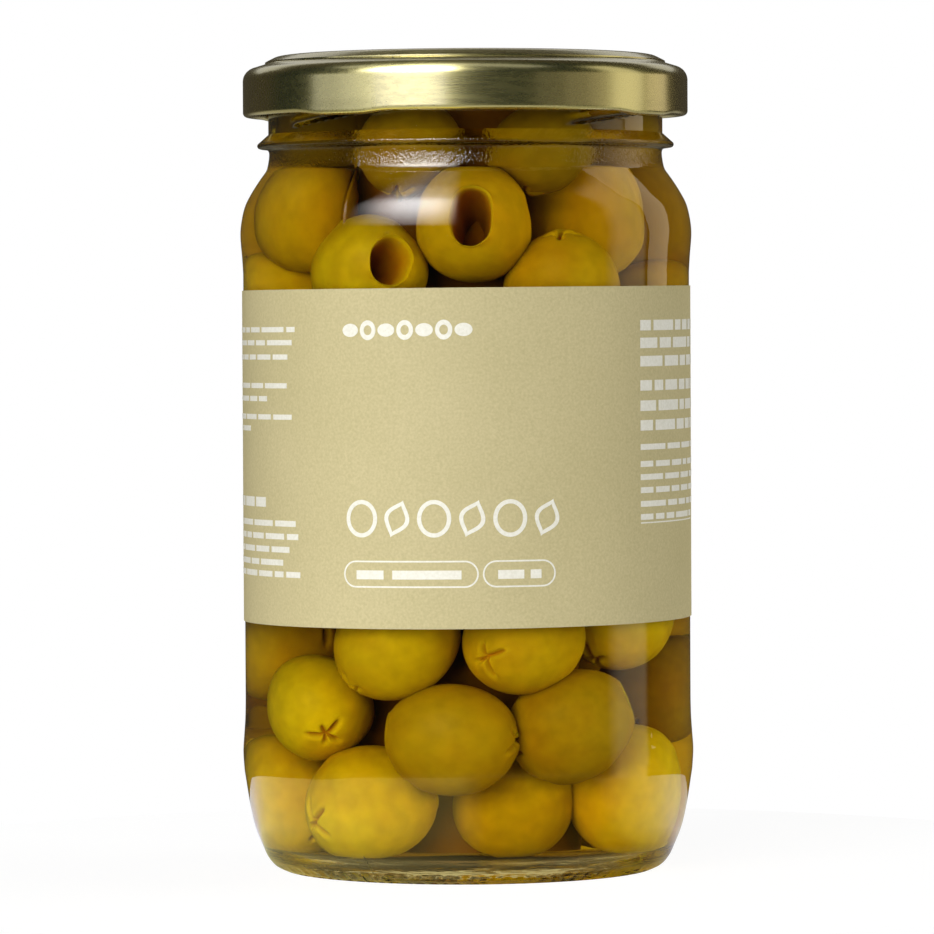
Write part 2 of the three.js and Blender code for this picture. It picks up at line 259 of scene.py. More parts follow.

# The olives that show at the front: azimuth, height, distance from the axis, size, tone from yellow green
# at 0 to browner and darker at 1, its darker values partly painted shade on olives that lie in shade, such as
# those in the neck under the lid, and the way the pit hole faces as right, forward and up
PLACED_OLIVES = [
    (-90, 11.6, 22.6, 1.0, 0.3, (-0.3, -0.8, 0.4)),
    (-40, 11.4, 22.3, 1.0, 0.35, (0.9, -0.35, 0.25)),
    (33, 11.5, 13, 0.95, 0.5, (0.2, 0.2, 0.95)),
    (69, 11.6, 22, 1.05, 0.3, (0.2, -0.3, -0.93)),
    (-61, 25.9, 23, 0.955, 0.4, (0, -0.9, 0.4)),
    (-6, 22, 23, 1.0, 0.84, (-0.95, -0.25, 0.05)),
    (38.5, 22.6, 23, 1.0, 0.87, (0.85, -0.3, 0.4)),
    (106, 26.9, 22.8, 1.0, 0.86, (0.2, -0.7, 0.6)),
    (-100, 35, 22.8, 1.0, 0.6, (-0.5, -0.7, -0.4)),
    (-25.5, 37, 23, 1.0, 0.6, (0.65, -0.1, 0.75)),
    (20, 37, 23, 0.975, 0.72, (0.57, -0.78, 0.25)),
    (65, 41, 23, 1.0, 0.4, (0.4, -0.5, 0.75)),
    (-91, 88.6, 22.8, 1.0, 0.4, (-0.6, -0.6, 0.5)),
    (-36.5, 93.6, 23, 0.965, 0.52, (0.3, 0.93, 0.2)),
    (4, 99.2, 21.5, 0.94, 0.75, (-0.03, 1, 0.2)),
    (35, 90.9, 23, 1.0, 0.82, (0.05, -0.35, -0.94)),
    (91, 86.8, 22.8, 1.0, 0.7, (0.5, -0.7, 0.4)),
    (-70, 101.2, 22, 0.87, 0.8, (-0.5, -0.7, 0.5)),
    (65, 99, 16, 0.94, 0.6, (0.3, -0.8, 0.5)),
    (118, 100, 21.5, 0.97, 0.85, (0.1, -0.2, 0.97)),
    (-25, 111, 18.5, 0.9, 0.93, (0.2, -0.3, 0.9)),
    (34, 111, 18.5, 0.9, 0.95, (0.3, -0.4, 0.85)),
    (-82, 114, 17.5, 0.9, 1.0, (0.1, 0.1, 0.98)),
    (92, 114, 17.5, 0.9, 0.9, (-0.1, 0.1, 0.98)),
]

# Studio: what the jar reflects, each light as levels by azimuth, levels by elevation and its radiance
FLOOR_RADIUS = 112
DARK = (0.017, 0.023, 0.02)
KEY_LIGHT = (
    [(-64, 0), (-55, 0.2), (-46, 0.55), (-38, 0.9), (-28, 1), (-17, 0.85), (-10, 0.5), (-4, 0)],
    [(9, 0), (17, 0.3), (25, 0.8), (32, 1), (42, 1), (53, 0.4), (64, 0.1), (80, 0.05), (88, 0)],
    (17, 17, 17),
)
CARD = (
    [(76, 0), (84, 1), (103, 1), (106, 0)],
    [(-25, 0), (-18, 1), (45, 1), (50, 0)],
    (0.8, 0.74, 0.55),
)
BACKDROP = (
    [(-180, 1), (-124, 1), (-112, 0), (112, 0), (124, 1), (180, 1)],
    [(-90, 1), (90, 1)],
    (0.22, 0.13, 0.06),
)
GROUND = (
    [(-180, 1), (180, 1)],
    [(-75, 0), (-60, 1), (-20, 1), (-10, 0)],
    (0.35, 0.33, 0.24),
)
BACKDROP_REFLECTION = 0.15
# Painted light on the floor: its glow by azimuth as the glass reflects it, and its glow seen through the
# glass
FLOOR_REFLECTION = [
    (-180, (0.5, 0.5, 0.5)),
    (-130, (0.95, 0.95, 1.1)),
    (-110, (1.25, 1.2, 0.7)),
    (-60, (1.3, 1.2, 0.5)),
    (-4, (1.1, 0.95, 0.3)),
    (6, (0.2, 0.15, 0.03)),
    (55, (0.2, 0.15, 0.03)),
    (80, (0.85, 0.82, 0.5)),
    (105, (0.85, 0.85, 0.95)),
    (140, (0.65, 0.65, 0.6)),
    (180, (0.5, 0.5, 0.5)),
]
FLOOR_THROUGH_GLASS = (0.5, 0.41, 0.19)
# A painted shadow round the jar's foot: the floor's glow in what the glass reflects falls to this share
# inside these radii, in metres
FLOOR_SHADE = 0.45
FLOOR_SHADE_REACH = (0.034, 0.05)

# Lamps, which light the jar but don't show in it: azimuth, elevation, distance and size in metres, radiance
LAMPS = {
    "key": (-30, 8, 1.2, (0.9, 0.7), 8.4),
    "front_fill": (25, 2, 1.2, (0.6, 0.4), 1.6),
    "right_fill": (95, 10, 1.2, (0.7, 0.7), 5.8),
    "top": (180, 75, 1.5, (1.6, 1.2), 0.6),
}

# A lamp that lights the olives alone, and cards that show in the glass alone and in the lid alone
OLIVE_FILL = (48, 3, 1.2, (0.6, 0.5), 4.8)
SIDE_CARD = (113.5, 27, 0.45, (0.165, 0.54), 1.25)
LID_CARDS = {
    "left_card": (-47, 6.5, 1.0, (1.5, 0.26), 0.78),
    "left_middle": (-38, 6.5, 1.0, (1.06, 0.26), 0.2),
    "left_core": (-28, 6.5, 0.9, (0.6, 0.26), 0.16),
    "right_card": (56, 6.5, 1.0, (0.73, 0.26), 0.15),
    "right_middle": (64, 6.5, 1.0, (0.43, 0.26), 0.15),
    "right_core": (95, 6.5, 1.0, (1.1, 0.26), 0.15),
    "right_edge": (116, 6.5, 1.0, (0.35, 0.26), 0.65),
    "top_card": (-20, 70, 1.0, (1.6, 0.4), 0.45),
    "back_card": (180, 33, 1.0, (1.6, 0.35), 0.55),
    "low_card": (0, -35, 1.0, (2.4, 0.35), 0.45),
}
WARM_CARDS = ("side_card", "right_card", "right_middle", "right_core", "right_edge")
WARM = (1, 0.86, 0.6)
COOL = (0.45, 0.52, 3.6)


# Shapes


def spline(points, samples):
    """Points on a smooth curve through key points, evenly spaced between them."""
    points = np.array(points, float)
    padded = np.vstack([points[:1], points, points[-1:]])
    places = np.linspace(0, len(points) - 1, samples)
    at = np.minimum(places.astype(int), len(points) - 2)
    share = (places - at)[:, None]
    before, start, end, after = (padded[at + shift] for shift in range(4))
    lean_in, lean_out = (end - before) / 2, (after - start) / 2
    cubic = 2 * start - 2 * end + lean_in + lean_out
    square = -3 * start + 3 * end - 2 * lean_in - lean_out
    return ((cubic * share + square) * share + lean_in) * share + start


def arc(centre, radius, start, end, samples):
    """Points (radius, height) on an arc, with a pair of radii for an ellipse and angles in degrees."""
    across, up = radius if isinstance(radius, tuple) else (radius, radius)
    angles = np.radians(np.linspace(start, end, samples))
    return np.stack([centre[0] + across * np.cos(angles), centre[1] + up * np.sin(angles)], 1)


def densely(profile, spacing):
    """A profile with points added along its straight stretches."""
    profile = np.array(profile, float)
    rows = []
    for start, end in zip(profile, profile[1:]):
        steps = max(1, math.ceil(np.linalg.norm(end - start) / spacing))
        rows.extend(start + (end - start) * i / steps for i in range(steps))
    return np.array(rows + [profile[-1]])


def even_angles(count):
    """Angles all round a circle, in radians."""
    return np.arange(count) * 2 * math.pi / count


def revolve(profile, angles):
    """Points and faces of a profile of (radius, height) turned round the Z axis, from axis to axis."""
    segments = len(angles)
    points, rows = [], []
    for radius, height in profile:
        count = 1 if radius < 1e-6 else segments
        rows.append(range(len(points), len(points) + count))
        points.extend((radius * math.sin(a), -radius * math.cos(a), height) for a in angles[:count])
    faces = []
    for low, high in zip(rows, rows[1:]):
        for i in range(segments):
            j = (i + 1) % segments
            corners = [low[i % len(low)], low[j % len(low)], high[j % len(high)], high[i % len(high)]]
            faces.append(list(dict.fromkeys(corners)))
    return np.array(points), faces


def new_piece(name, points, faces, material, smooth_below=40):
    """A mesh object from points in millimetres, smooth where its faces meet at a low angle."""
    mesh = bpy.data.meshes.new(name)
    mesh.from_pydata((np.asarray(points) * MM).tolist(), [], faces)
    mesh.materials.append(material)
    mesh.shade_smooth()
    mesh.set_sharp_from_angle(angle=math.radians(smooth_below))
    piece = bpy.data.objects.new(name, mesh)
    bpy.context.scene.collection.objects.link(piece)
    return piece


def smoothstep(value, low, high):
    share = np.clip((value - low) / (high - low), 0, 1)
    return share * share * (3 - 2 * share)


def azimuths(points):
    """The azimuth of each point, in degrees."""
    return np.degrees(np.arctan2(points[:, 0], -points[:, 1]))


def from_nearest(angles, first, spacing):
    """How far each angle is from the nearest of a row of evenly spaced ones, in degrees."""
    return (angles - first + spacing / 2) % spacing - spacing / 2


def move_radially(points, change):
    radii = np.hypot(points[:, 0], points[:, 1])
    points[:, :2] *= (1 + change / np.maximum(radii, 1e-6))[:, None]


# Materials


def new_material(name):
    material = bpy.data.materials.new(name)
    material.use_nodes = True
    tree = material.node_tree
    return material, tree, tree.nodes["Principled BSDF"]


def add_node(tree, kind, links=None, **values):
    """A shader node with some input values, and other inputs linked from given outputs."""
    node = tree.nodes.new(kind)
    for name, value in values.items():
        node.inputs[name.replace("_", " ")].default_value = value
    for name, output in (links or {}).items():
        tree.links.new(output, node.inputs[name])
    return node


def set_inputs(shader, **values):
    for name, value in values.items():
        shader.inputs[name.replace("_", " ")].default_value = value


def noise(tree, scale, detail=3, stretch=None):
    """A noise pattern in the object's own coordinates, stretched by a scale for each axis."""
    place = add_node(tree, "ShaderNodeTexCoord").outputs["Object"]
    if stretch is not None:
        place = add_node(tree, "ShaderNodeMapping", {"Vector": place}, Scale=stretch).outputs[0]
    return add_node(tree, "ShaderNodeTexNoise", {"Vector": place}, Scale=scale, Detail=detail).outputs["Fac"]


def ramp(tree, value, stops):
    """Colours along a value, from (place, colour) stops."""
    node = add_node(tree, "ShaderNodeValToRGB", {"Fac": value})
    elements = node.color_ramp.elements
    elements[0].position, elements[1].position = stops[0][0], stops[-1][0]
    for place, _ in stops[1:-1]:
        elements.new(place)
    for element, (_, colour) in zip(elements, stops):
        element.color = (*colour, 1)
    return node.outputs["Color"]


def grey_ramp(tree, value, stops):
    return ramp(tree, value, [(place, (level,) * 3) for place, level in stops])


def maths(tree, operation, *values, kind="ShaderNodeMath"):
    """The number that a calculation on linked values gives."""
    node = tree.nodes.new(kind)
    node.operation = operation
    for value, socket in zip(values, node.inputs):
        tree.links.new(value, socket)
    return node.outputs["Value"]


def mix_colour(tree, factor, first, second, blend="MIX"):
    node = tree.nodes.new("ShaderNodeMix")
    node.data_type = "RGBA"
    node.blend_type = blend
    for socket, value in ((node.inputs[0], factor), (node.inputs[6], first), (node.inputs[7], second)):
        if isinstance(value, bpy.types.NodeSocket):
            tree.links.new(value, socket)
        else:
            socket.default_value = value if isinstance(value, (int, float)) else (*value, 1)
    return node.outputs[2]


def bump(tree, shader, height, distance, strength=1.0):
    node = add_node(tree, "ShaderNodeBump", {"Height": height}, Strength=strength, Distance=distance)
    tree.links.new(node.outputs["Normal"], shader.inputs["Normal"])


def height_band(tree, low, high, fade=0.6):
    """1 between two heights in millimetres, fading to 0 outside them."""
    place = add_node(tree, "ShaderNodeTexCoord").outputs["Object"]
    up = add_node(tree, "ShaderNodeSeparateXYZ", {"Vector": place}).outputs["Z"]
    shares = []
    for outer, inner in ((low - fade, low), (high + fade, high)):
        share = add_node(tree, "ShaderNodeMapRange", {"Value": up}, From_Min=outer * MM, From_Max=inner * MM)
        shares.append(share.outputs[0])
    return maths(tree, "MULTIPLY", *shares)


def look_by_ray(tree, surface, looks):
    """Gives a material its surface, with other looks for some kinds of ray."""
    path = tree.nodes.new("ShaderNodeLightPath")
    for ray, look in looks.items():
        mixer = tree.nodes.new("ShaderNodeMixShader")
        tree.links.new(path.outputs[ray], mixer.inputs[0])
        tree.links.new(surface, mixer.inputs[1])
        tree.links.new(look, mixer.inputs[2])
        surface = mixer.outputs[0]
    tree.links.new(surface, tree.nodes["Material Output"].inputs["Surface"])


def clear_to_lamps(tree, shader):
    """Lets light from lamps and from lit surfaces through a clear material unbent."""
    through = tree.nodes.new("ShaderNodeBsdfTransparent").outputs[0]
    look_by_ray(tree, shader.outputs[0], {"Is Diffuse Ray": through, "Is Shadow Ray": through})


def glass_material(name, reflection):
    """Clear moulded glass with a faint waviness, and a tint for what it reflects."""
    material, tree, shader = new_material(name)
    set_inputs(shader, Roughness=0.0, IOR=1.52, Transmission_Weight=1.0)
    set_inputs(shader, Base_Color=(0.97, 0.985, 0.965, 1), Specular_Tint=(*reflection, 1))
    height = noise(tree, 55, 1)
    for (low, high), relief in (
        (STIPPLED, mix_colour(tree, 1.0, noise(tree, 2600, 1), (3,) * 3, "MULTIPLY")),
        (STREAKED, mix_colour(tree, 1.0, noise(tree, 90, 3, (1, 1, 14)), (2.5,) * 3, "MULTIPLY")),
    ):
        height = mix_colour(tree, height_band(tree, low, high), height, relief)
    bump(tree, shader, height, 0.00004)
    clear_to_lamps(tree, shader)
    return material


def brine_material():
    """Amber brine that takes the blue out of the light."""
    material, tree, shader = new_material("brine")
    set_inputs(shader, Roughness=0.0, IOR=1.34, Transmission_Weight=1.0)
    set_inputs(shader, Base_Color=(1, 1, 1, 1), Specular_Tint=(*WET_REFLECTION, 1))
    clear_to_lamps(tree, shader)
    volume = add_node(tree, "ShaderNodeVolumeAbsorption", Density=150.0, Color=(0.955, 0.9, 0.03, 1))
    tree.links.new(volume.outputs[0], tree.nodes["Material Output"].inputs["Volume"])
    return material


def olive_material():
    """Waxy yellow-green skin with browner patches, darker in the pit holes and the cuts.

    Painted shade darkens some olives, and the flesh deep in the pit holes and cuts.
    """
    material, tree, shader = new_material("green_olive")
    tone = add_node(tree, "ShaderNodeAttribute")
    tone.attribute_name = "tone"
    inside = add_node(tree, "ShaderNodeAttribute")
    inside.attribute_name = "inside"
    patches = ramp(tree, noise(tree, 95, 2), [(0.42, (1, 1, 1)), (0.72, (0.93, 0.8, 0.85))])
    # The skin's colour by tone: its darker end is painted shade
    skin = ramp(tree, tone.outputs["Fac"], SKIN_TONES_AND_SHADE)
    skin = mix_colour(tree, 1.0, skin, patches, "MULTIPLY")
    mottle = ramp(tree, noise(tree, 420, 4), [(0.3, (0.86, 0.86, 0.8)), (0.7, (1.08, 1.08, 1.1))])
    skin = mix_colour(tree, 1.0, skin, mottle, "MULTIPLY")
    # Flesh where the olive is cut or pitted, painted darker deeper in as shade
    flesh = ramp(tree, inside.outputs["Fac"], FLESH_AND_HOLE_SHADE)
    cut = ramp(tree, inside.outputs["Fac"], [(0, (0, 0, 0)), (0.4, (1, 1, 1))])
    colour = mix_colour(tree, cut, skin, flesh)
    tree.links.new(colour, shader.inputs["Base Color"])
    set_inputs(shader, Roughness=0.42, IOR=1.08)
    set_inputs(shader, Subsurface_Weight=0.4, Subsurface_Scale=0.003, Subsurface_Radius=(1.0, 0.7, 0.2))
    bump(tree, shader, noise(tree, 900, 3), 0.00012, 0.5)
    return material


def gold_material():
    """Gold lacquer over rolled tinplate with a fine straight grain."""
    material, tree, shader = new_material("gold_lacquered_tin")
    grain = noise(tree, 60, 4, (1, 30, 30))
    colour = ramp(tree, grain, [(0.3, (0.61, 0.545, 0.23)), (0.7, (0.67, 0.6, 0.26))])
    tree.links.new(colour, shader.inputs["Base Color"])
    roughness = grey_ramp(tree, grain, [(0.3, 0.25), (0.7, 0.3)])
    tree.links.new(roughness, shader.inputs["Roughness"])
    set_inputs(shader, Metallic=1.0, Anisotropic=0.6, Anisotropic_Rotation=0.25)
    set_inputs(shader, Coat_Weight=1.0, Coat_Roughness=0.15, Coat_IOR=1.75)
    bump(tree, shader, grain, 0.00001, 0.3)
    return material


def paper_material():
    """Uncoated beige paper, white at its cut edges."""
    material, tree, shader = new_material("beige_paper")
    fibre = noise(tree, 2600, 4)
    cloud = noise(tree, 60, 2)
    base = ramp(tree, cloud, [(0.3, (0.555, 0.485, 0.255)), (0.7, (0.585, 0.51, 0.275))])
    grain = ramp(tree, fibre, [(0.3, (0.9, 0.9, 0.88)), (0.7, (1.06, 1.06, 1.08))])
    face = mix_colour(tree, 1.0, base, grain, "MULTIPLY")
    normal = add_node(tree, "ShaderNodeNewGeometry").outputs["Normal"]
    facing_up = add_node(tree, "ShaderNodeSeparateXYZ", {"Vector": normal}).outputs["Z"]
    colour = mix_colour(tree, maths(tree, "ABSOLUTE", facing_up), face, (0.82, 0.76, 0.55))
    tree.links.new(colour, shader.inputs["Base Color"])
    set_inputs(shader, Roughness=0.72, Specular_IOR_Level=0.3)
    bump(tree, shader, fibre, 0.00004, 0.5)
    return material


def ink_material():
    """Cream ink, slightly worn by the paper's grain."""
    material, tree, shader = new_material("cream_ink")
    colour = ramp(tree, noise(tree, 2200, 3), [(0.3, (0.8, 0.78, 0.66)), (0.7, (0.9, 0.88, 0.78))])
    tree.links.new(colour, shader.inputs["Base Color"])
    set_inputs(shader, Roughness=0.6)
    return material


# Glass and brine


def glass_inside():
    """The inner wall from the middle of the base to the lip."""
    inside = PANEL_RADIUS - WALL
    mouth = NECK_RADIUS - NECK_WALL
    return np.array([
        (0, BASE_THICKNESS + 0.6),
        (22, BASE_THICKNESS),
        (26.8, BASE_THICKNESS + 1),
        (29.9, BASE_THICKNESS + 3.6),
        (31.6, BASE_THICKNESS + 8.2),
        (inside + 0.3, LOWER_BULGE_HEIGHT),
        (inside, PANEL_BOTTOM),
        (inside, PANEL_TOP),
        (inside + 0.2, UPPER_BULGE_HEIGHT - 1),
        (31.4, 103),
        (29.4, 107),
        (mouth, MOUTH_BOTTOM),
        (mouth, JAR_HEIGHT - 0.8),
        (mouth + 0.8, JAR_HEIGHT),
    ])


def smooth_inside():
    """The inner wall with its curved stretches smoothed."""
    key = glass_inside()
    return np.vstack([spline(key[:7], 40), spline(key[7:12], 26), key[12:]])


def inner_radius_at(height):
    wall = glass_inside()[1:]
    return np.interp(height, wall[:, 1], wall[:, 0])


def glass_outside():
    """The outer wall from the middle of the push-up to the lip."""
    heel = spline([
        (FOOT_RADIUS, 0),
        (30.4, 0.7),
        (31.5, 2),
        (32.3, 3.7),
        (33.4, 6.5),
        (34.2, 10),
        (HEEL_RADIUS, HEEL_HEIGHT),
    ], 36)
    lower_bulge = spline([
        (HEEL_RADIUS, HEEL_HEIGHT),
        (BULGE_RADIUS, LOWER_BULGE_HEIGHT),
        (35.1, 20.9),
        (34.92, 23.6),
        (PANEL_RADIUS, PANEL_BOTTOM),
    ], 20)
    shoulder = spline([
        (PANEL_RADIUS, PANEL_TOP),
        (35, 95.6),
        (BULGE_RADIUS, UPPER_BULGE_HEIGHT),
        (35.05, 101.3),
        (34.5, 103.6),
        (33.55, 105.5),
        (32.35, 107.4),
        (31.2, 109),
    ], 44)
    fillet = spline([
        (31.2, 109),
        (NECK_FOOT_RADIUS, NECK_BOTTOM),
        (30.7, NECK_BOTTOM + 1.5),
        (30.75, BEAD_HEIGHT - 0.9),
        (31.2, BEAD_HEIGHT - 0.5),
    ], 20)
    bead = arc((BEAD_RADIUS - 0.45, BEAD_HEIGHT), 0.45, -105, 60, 12)
    neck = densely([(NECK_RADIUS, BEAD_HEIGHT + 1.75), (NECK_RADIUS, JAR_HEIGHT - 0.9)], 0.25)
    return np.vstack([
        [(0, PUSH_UP), (FOOT_INNER_RADIUS - 5, PUSH_UP * 0.7), (FOOT_INNER_RADIUS, 0)],
        heel,
        lower_bulge[1:],
        shoulder,
        fillet[1:],
        bead,
        neck,
        [(NECK_RADIUS - 0.8, JAR_HEIGHT)],
    ])


def make_glass():
    outside = glass_outside()
    near_seam = np.linspace(-2, 2, SEAM_COLUMNS) * SEAM_HALF_WIDTH / BULGE_RADIUS
    seams = [math.radians(SEAM_AZIMUTH + turn) + near_seam for turn in (0, 180)]
    angles = np.unique(np.concatenate([even_angles(GLASS_SEGMENTS), *seams]) % (2 * math.pi))
    points, faces = revolve(np.vstack([outside, smooth_inside()[::-1]]), angles)
    radii = np.hypot(points[:, 0], points[:, 1])
    azimuth, height = azimuths(points), points[:, 2]
    change = np.zeros(len(points))
    # Thread ridges on the neck, each rising to the right
    along = (azimuth - THREAD_START_AZIMUTH) % (360 / THREADS)
    ridge = THREAD_BOTTOM + THREAD_RISE * along / THREAD_SPAN
    shape = np.clip(1 - ((height - ridge) / THREAD_HALF_WIDTH) ** 2, 0, 1)
    ends = smoothstep(along, 0, THREAD_FADE) * (1 - smoothstep(along, THREAD_SPAN - THREAD_FADE, THREAD_SPAN))
    change += THREAD_HEIGHT * shape * ends * (radii > NECK_RADIUS - 0.1) * (height > BEAD_HEIGHT + 1.9)
    # Knurls round the foot's edge
    foot = (radii > FOOT_RADIUS + 0.1) * (1 - smoothstep(height, *KNURL_TOP)) * (height > 0.05)
    change -= KNURL_DEPTH * foot * (from_nearest(azimuth, 0, 360 / KNURLS) > 0)
    # The two seams of the mould, which fade out down the shoulder
    off_seam = np.radians(from_nearest(azimuth, SEAM_AZIMUTH, 180)) * radii
    tall = smoothstep(height, PANEL_TOP, UPPER_BULGE_HEIGHT + 3) * (radii > inner_radius_at(height) + 1)
    change += SEAM_HEIGHT * np.exp(-((off_seam / SEAM_HALF_WIDTH) ** 2)) * tall
    change -= np.maximum(0, radii + change - BULGE_RADIUS)
    move_radially(points, change)
    piece = new_piece("jar_glass", points, faces, glass_material("clear_glass", (1, 1, 1)))
    piece.data.materials.append(glass_material("wet_glass", WET_REFLECTION))
    wet = np.arange(len(faces)) >= len(outside) * len(angles)
    piece.data.polygons.foreach_set("material_index", wet.astype(np.int32))
    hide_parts("glass_jar")
    return piece


def make_brine():
    wall = smooth_inside()
    below = wall[wall[:, 1] < BRINE_TOP]
    below[1:, 0] += BRINE_REACH
    below[:, 1] -= BRINE_REACH * (1 - smoothstep(below[:, 1], BASE_THICKNESS, BASE_THICKNESS + 5))
    top = [(below[-1, 0], BRINE_TOP), (0, BRINE_TOP)]
    points, faces = revolve(np.vstack([below, top]), even_angles(GLASS_SEGMENTS // 2))
    return new_piece("brine", points, faces, brine_material())


# Lid


def lug_share(points):
    """How far each point is inside a lug, from 0 outside it to 1 in its middle."""
    away = np.abs(from_nearest(azimuths(points), FIRST_LUG_AZIMUTH, 360 / LUGS))
    return 1 - smoothstep(away, LUG_HALF_WIDTH / 3, LUG_HALF_WIDTH)


def make_lid():
    corner_middle = (LID_RADIUS - LID_CORNER_RADIUS, LID_CORNER_HEIGHT)
    panel = LID_TOP - LID_PANEL_DROP
    under = LID_TOP - LID_SHEET
    ring = spline([
        (LID_PANEL_RADIUS + 1.1, LID_TOP),
        (29.5, LID_TOP - 0.16),
        (30.5, LID_TOP - 0.6),
        (LID_LEDGE_RADIUS, LID_TOP - 1),
    ], 12)
    profile = np.vstack([
        [(0, panel), (LID_PANEL_RADIUS - 1, panel)],
        arc((LID_PANEL_RADIUS + 0.4, LID_TOP - 0.3), 0.3, 130, 90, 4),
        ring,
        [(LID_LEDGE_RADIUS, LID_LEDGE_HEIGHT + 0.15), (LID_LEDGE_RADIUS + 0.15, LID_LEDGE_HEIGHT)],
        arc(corner_middle, LID_CORNER_RADIUS, LID_CORNER_TURN, 0, 20),
        densely([(LID_RADIUS, LID_CORNER_HEIGHT - 0.4), (LID_RADIUS, LID_BOTTOM + CURL_RADIUS + 0.2)], 0.4),
        arc((LID_RADIUS - CURL_RADIUS, LID_BOTTOM + CURL_RADIUS), CURL_RADIUS, 0, -234, 20),
        arc(corner_middle, LID_CORNER_RADIUS - LID_SHEET, 0, LID_CORNER_TURN, 12),
        [
            (LID_LEDGE_RADIUS - 1.05, LID_LEDGE_HEIGHT - LID_SHEET),
            (LID_LEDGE_RADIUS - 2, LID_LEDGE_HEIGHT - LID_SHEET),
            (LID_LEDGE_RADIUS - 2, under),
            (LID_PANEL_RADIUS + 0.2, under),
            (LID_PANEL_RADIUS - 0.8, panel - LID_SHEET),
            (0, panel - LID_SHEET),
        ],
    ])
    points, faces = revolve(profile[::-1], even_angles(LID_SEGMENTS))
    height, radii = points[:, 2], np.hypot(points[:, 0], points[:, 1])
    above_curl = smoothstep(height, LID_BOTTOM + CURL_RADIUS, LID_BOTTOM + 3 * CURL_RADIUS)
    share = lug_share(points) * (1 - above_curl)
    outside = smoothstep(radii, LID_RADIUS - 2 * CURL_RADIUS, LID_RADIUS)
    move_radially(points, -share * LUG_INWARD * (1 + (LUG_INWARD_OUTSIDE - 1) * outside))
    points[:, 2] -= share * LUG_DROP
    piece = new_piece("gold_lid", points, faces, gold_material())
    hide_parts("lid")
    return piece


# Label


def on_label(along, height, radius):
    """Points on the jar's panel from millimetres along the label and up the jar, with its slight skew."""
    along, height = np.asarray(along, float), np.asarray(height, float)
    angle = along / PANEL_RADIUS
    return np.stack([radius * np.sin(angle), -radius * np.cos(angle), height + LABEL_SKEW * along], -1)


def sheet_faces(rows, columns, offset=0):
    """Quads between neighbouring points of a grid."""
    faces = []
    for i in range(rows - 1):
        for j in range(columns - 1):
            corner = offset + i * columns + j
            faces.append([corner, corner + 1, corner + columns + 1, corner + columns])
    return faces


def thin_strip(outer, inner):
    """A closed thin body between two grids of points, as one list of points and faces."""
    rows, columns = outer.shape[:2]
    count = rows * columns
    faces = sheet_faces(rows, columns)
    faces += [[corner + count for corner in face[::-1]] for face in sheet_faces(rows, columns)]
    border = list(range(columns))
    border += [i * columns + columns - 1 for i in range(1, rows)]
    border += [(rows - 1) * columns + j for j in range(columns - 2, -1, -1)]
    border += [i * columns for i in range(rows - 2, 0, -1)]
    for start, end in zip(border, border[1:] + border[:1]):
        faces.append([end, start, start + count, end + count])
    return np.vstack([outer.reshape(-1, 3), inner.reshape(-1, 3)]), faces


def make_label():
    half_turn = math.pi * PANEL_RADIUS
    lap = math.radians(LABEL_LAP) * PANEL_RADIUS
    along = np.linspace(-half_turn, half_turn + lap, LABEL_COLUMNS + LABEL_LAP)
    lift_start = half_turn - math.radians(LABEL_LIFT) * PANEL_RADIUS
    lift = (LABEL_THICKNESS + LABEL_GAP) * smoothstep(along, lift_start, half_turn)
    heights = np.linspace(LABEL_BOTTOM, LABEL_TOP, 3)
    grid_along, grid_height = np.meshgrid(along, heights)
    inner_radius = PANEL_RADIUS + LABEL_GAP + lift
    outer = on_label(grid_along, grid_height, inner_radius + LABEL_THICKNESS)
    inner = on_label(grid_along, grid_height, inner_radius)
    points, faces = thin_strip(outer, inner)
    piece = new_piece("paper_label", points, faces, paper_material())
    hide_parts("label")
    return piece


def ink_bar(start, end, height, thickness):
    """A printed bar along the label, centred on a height."""
    columns = 2 + int((end - start) / 1.5)
    sides = [height - thickness / 2, height + thickness / 2]
    along, up = np.meshgrid(np.linspace(start, end, columns), sides)
    return thin_strip(on_label(along, up, INK_RADIUS + INK_THICKNESS), on_label(along, up, INK_RADIUS))


def ink_ring(outer, inner):
    """A printed outline between two closed lines of (along, height) points."""
    count = len(outer)
    points = []
    for radius in (INK_RADIUS + INK_THICKNESS, INK_RADIUS):
        points += [on_label(line[:, 0], line[:, 1], radius) for line in (outer, inner)]
    faces = []
    for i in range(count):
        j = (i + 1) % count
        for low, high in ((0, 1), (1, 3), (3, 2), (2, 0)):
            faces.append([low * count + i, low * count + j, high * count + j, high * count + i])
    return np.vstack(points), faces


def ellipse_line(middle, half_width, half_height, count=48):
    """A closed line round an ellipse."""
    angles = even_angles(count)
    return np.stack([middle[0] + half_width * np.cos(angles), middle[1] + half_height * np.sin(angles)], 1)


def pill_line(middle, half_width, half_height):
    """A closed line round a shape with straight long sides and round ends."""
    reach = half_width - half_height
    ends = np.radians(np.linspace(-90, 90, 17))
    right = np.stack([reach + half_height * np.cos(ends), half_height * np.sin(ends)], 1)
    side = np.linspace(reach, -reach, 12)[1:-1]
    top = np.stack([side, np.full(len(side), half_height)], 1)
    return np.vstack([right, top, -right, -top]) + middle


def leaf_line(middle, half_width, half_height, count=48):
    """A closed line round a leaning leaf with two points."""
    angles = even_angles(count)
    across, up = half_width * np.sin(angles) ** 3, half_height * np.cos(angles)
    turn = math.radians(LEAF_LEAN)
    along = middle[0] + across * math.cos(turn) + up * math.sin(turn)
    return np.stack([along, middle[1] + up * math.cos(turn) - across * math.sin(turn)], 1)


def print_words(draw, start, end, height, thickness):
    """A line of small print as bars of uneven length with gaps between them."""
    bars = []
    at = start
    while at < end - 1:
        length = min(draw(*WORD_LENGTH), end - at)
        bars.append(ink_bar(at, at + length, height, thickness))
        at += length + WORD_GAP
    return bars


